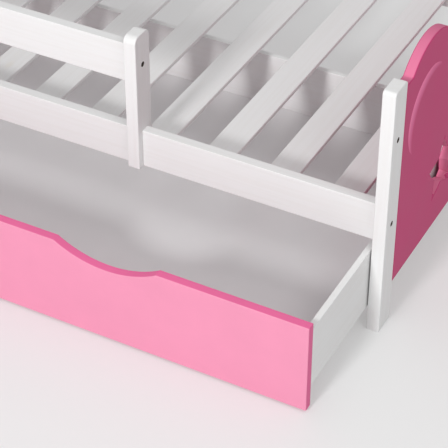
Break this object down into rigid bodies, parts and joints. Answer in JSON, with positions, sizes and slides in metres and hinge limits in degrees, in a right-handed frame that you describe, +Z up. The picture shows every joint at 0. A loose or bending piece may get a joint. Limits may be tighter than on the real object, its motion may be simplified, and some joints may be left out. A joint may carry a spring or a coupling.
{
  "type": "toddler bed",
  "caption": "Low slatted bed with lobed end boards carved with a moon and stars, a partial front barrier and a full-length drawer that rolls out on castors.",
  "frame": {"origin": "on the floor, under the middle of the whole bed's box with its drawer pulled out 265 mm as drawn: half way between the end boards' outer faces, and 125 mm in front of the middle of the bed frame", "axes": "+X along the bed towards the foot end, +Y towards the back of the bed, away from the drawer, +Z up"},
  "size_m": [1.652, 1.125, 0.6505],
  "materials": {
    "white_paint": "satin white paint on pine",
    "pink_paint": "satin pink paint on fibreboard",
    "zinc_steel": "zinc plated",
    "bare_wood": "planed, unpainted",
    "black_plastic": "moulded"
  },
  "bodies": {
    "bed_frame": {"leg_foot_front": "white_paint", "leg_foot_back": "white_paint", "leg_head_front": "white_paint", "leg_head_back": "white_paint", "side_rail_front": "white_paint", "side_rail_back": "white_paint", "slat_ledger_front": "white_paint", "slat_ledger_back": "white_paint", "slat_01": "white_paint", "slat_02": "white_paint", "slat_03": "white_paint", "slat_04": "white_paint", "slat_05": "white_paint", "slat_06": "white_paint", "slat_07": "white_paint", "slat_08": "white_paint", "slat_09": "white_paint", "slat_10": "white_paint", "slat_11": "white_paint", "slat_12": "white_paint", "footboard": "pink_paint", "headboard": "pink_paint", "barrier_post": "white_paint", "barrier_board": "white_paint", "barrier_post_screw": "zinc_steel", "rail_bolt_foot_front": "zinc_steel", "rail_bolt_foot_back": "zinc_steel", "rail_bolt_head_front": "zinc_steel", "rail_bolt_head_back": "zinc_steel", "rail_nut_foot_front": "zinc_steel", "rail_nut_foot_back": "zinc_steel", "rail_nut_head_front": "zinc_steel", "rail_nut_head_back": "zinc_steel", "board_dowel_foot_front": "bare_wood", "board_dowel_foot_back": "bare_wood", "board_dowel_head_front": "bare_wood", "board_dowel_head_back": "bare_wood", "barrier_bolt_head": "zinc_steel", "barrier_bolt_post": "zinc_steel", "barrier_nut_head": "zinc_steel", "barrier_nut_post": "zinc_steel"},
    "drawer": {"drawer_front": "pink_paint", "drawer_side_head": "white_paint", "drawer_side_foot": "white_paint", "drawer_back": "white_paint", "drawer_floor": "white_paint", "floor_batten_head": "bare_wood", "floor_batten_foot": "bare_wood", "castor_fork_head_front": "black_plastic", "castor_fork_head_back": "black_plastic", "castor_fork_foot_front": "black_plastic", "castor_fork_foot_back": "black_plastic", "castor_axle_head_front": "zinc_steel", "castor_axle_head_back": "zinc_steel", "castor_axle_foot_front": "zinc_steel", "castor_axle_foot_back": "zinc_steel"},
    "castor_wheel_head_front": {"castor_wheel_head_front": "black_plastic"},
    "castor_wheel_head_back": {"castor_wheel_head_back": "black_plastic"},
    "castor_wheel_foot_front": {"castor_wheel_foot_front": "black_plastic"},
    "castor_wheel_foot_back": {"castor_wheel_foot_back": "black_plastic"}
  },
  "joints": [
    {"name": "drawer_slide", "type": "slide", "parent": "bed_frame", "child": "drawer", "axis": [0, -1, 0], "range_m": [-0.265, 0.43]},
    {"name": "wheel_roll_head_front", "type": "hinge", "parent": "drawer", "child": "castor_wheel_head_front", "pos_m": [-0.62, -0.4745, 0.02], "axis": [1, 0, 0], "range_deg": [-760, 1235]},
    {"name": "wheel_roll_head_back", "type": "hinge", "parent": "drawer", "child": "castor_wheel_head_back", "pos_m": [-0.62, 0.1175, 0.02], "axis": [1, 0, 0], "range_deg": [-760, 1235]},
    {"name": "wheel_roll_foot_front", "type": "hinge", "parent": "drawer", "child": "castor_wheel_foot_front", "pos_m": [0.62, -0.4745, 0.02], "axis": [1, 0, 0], "range_deg": [-760, 1235]},
    {"name": "wheel_roll_foot_back", "type": "hinge", "parent": "drawer", "child": "castor_wheel_foot_back", "pos_m": [0.62, 0.1175, 0.02], "axis": [1, 0, 0], "range_deg": [-760, 1235]}
  ],
  "couplings": [
    {"joint": "wheel_roll_head_front", "follows": "drawer_slide", "rad_per_m": 50},
    {"joint": "wheel_roll_head_back", "follows": "drawer_slide", "rad_per_m": 50},
    {"joint": "wheel_roll_foot_front", "follows": "drawer_slide", "rad_per_m": 50},
    {"joint": "wheel_roll_foot_back", "follows": "drawer_slide", "rad_per_m": 50}
  ]
}
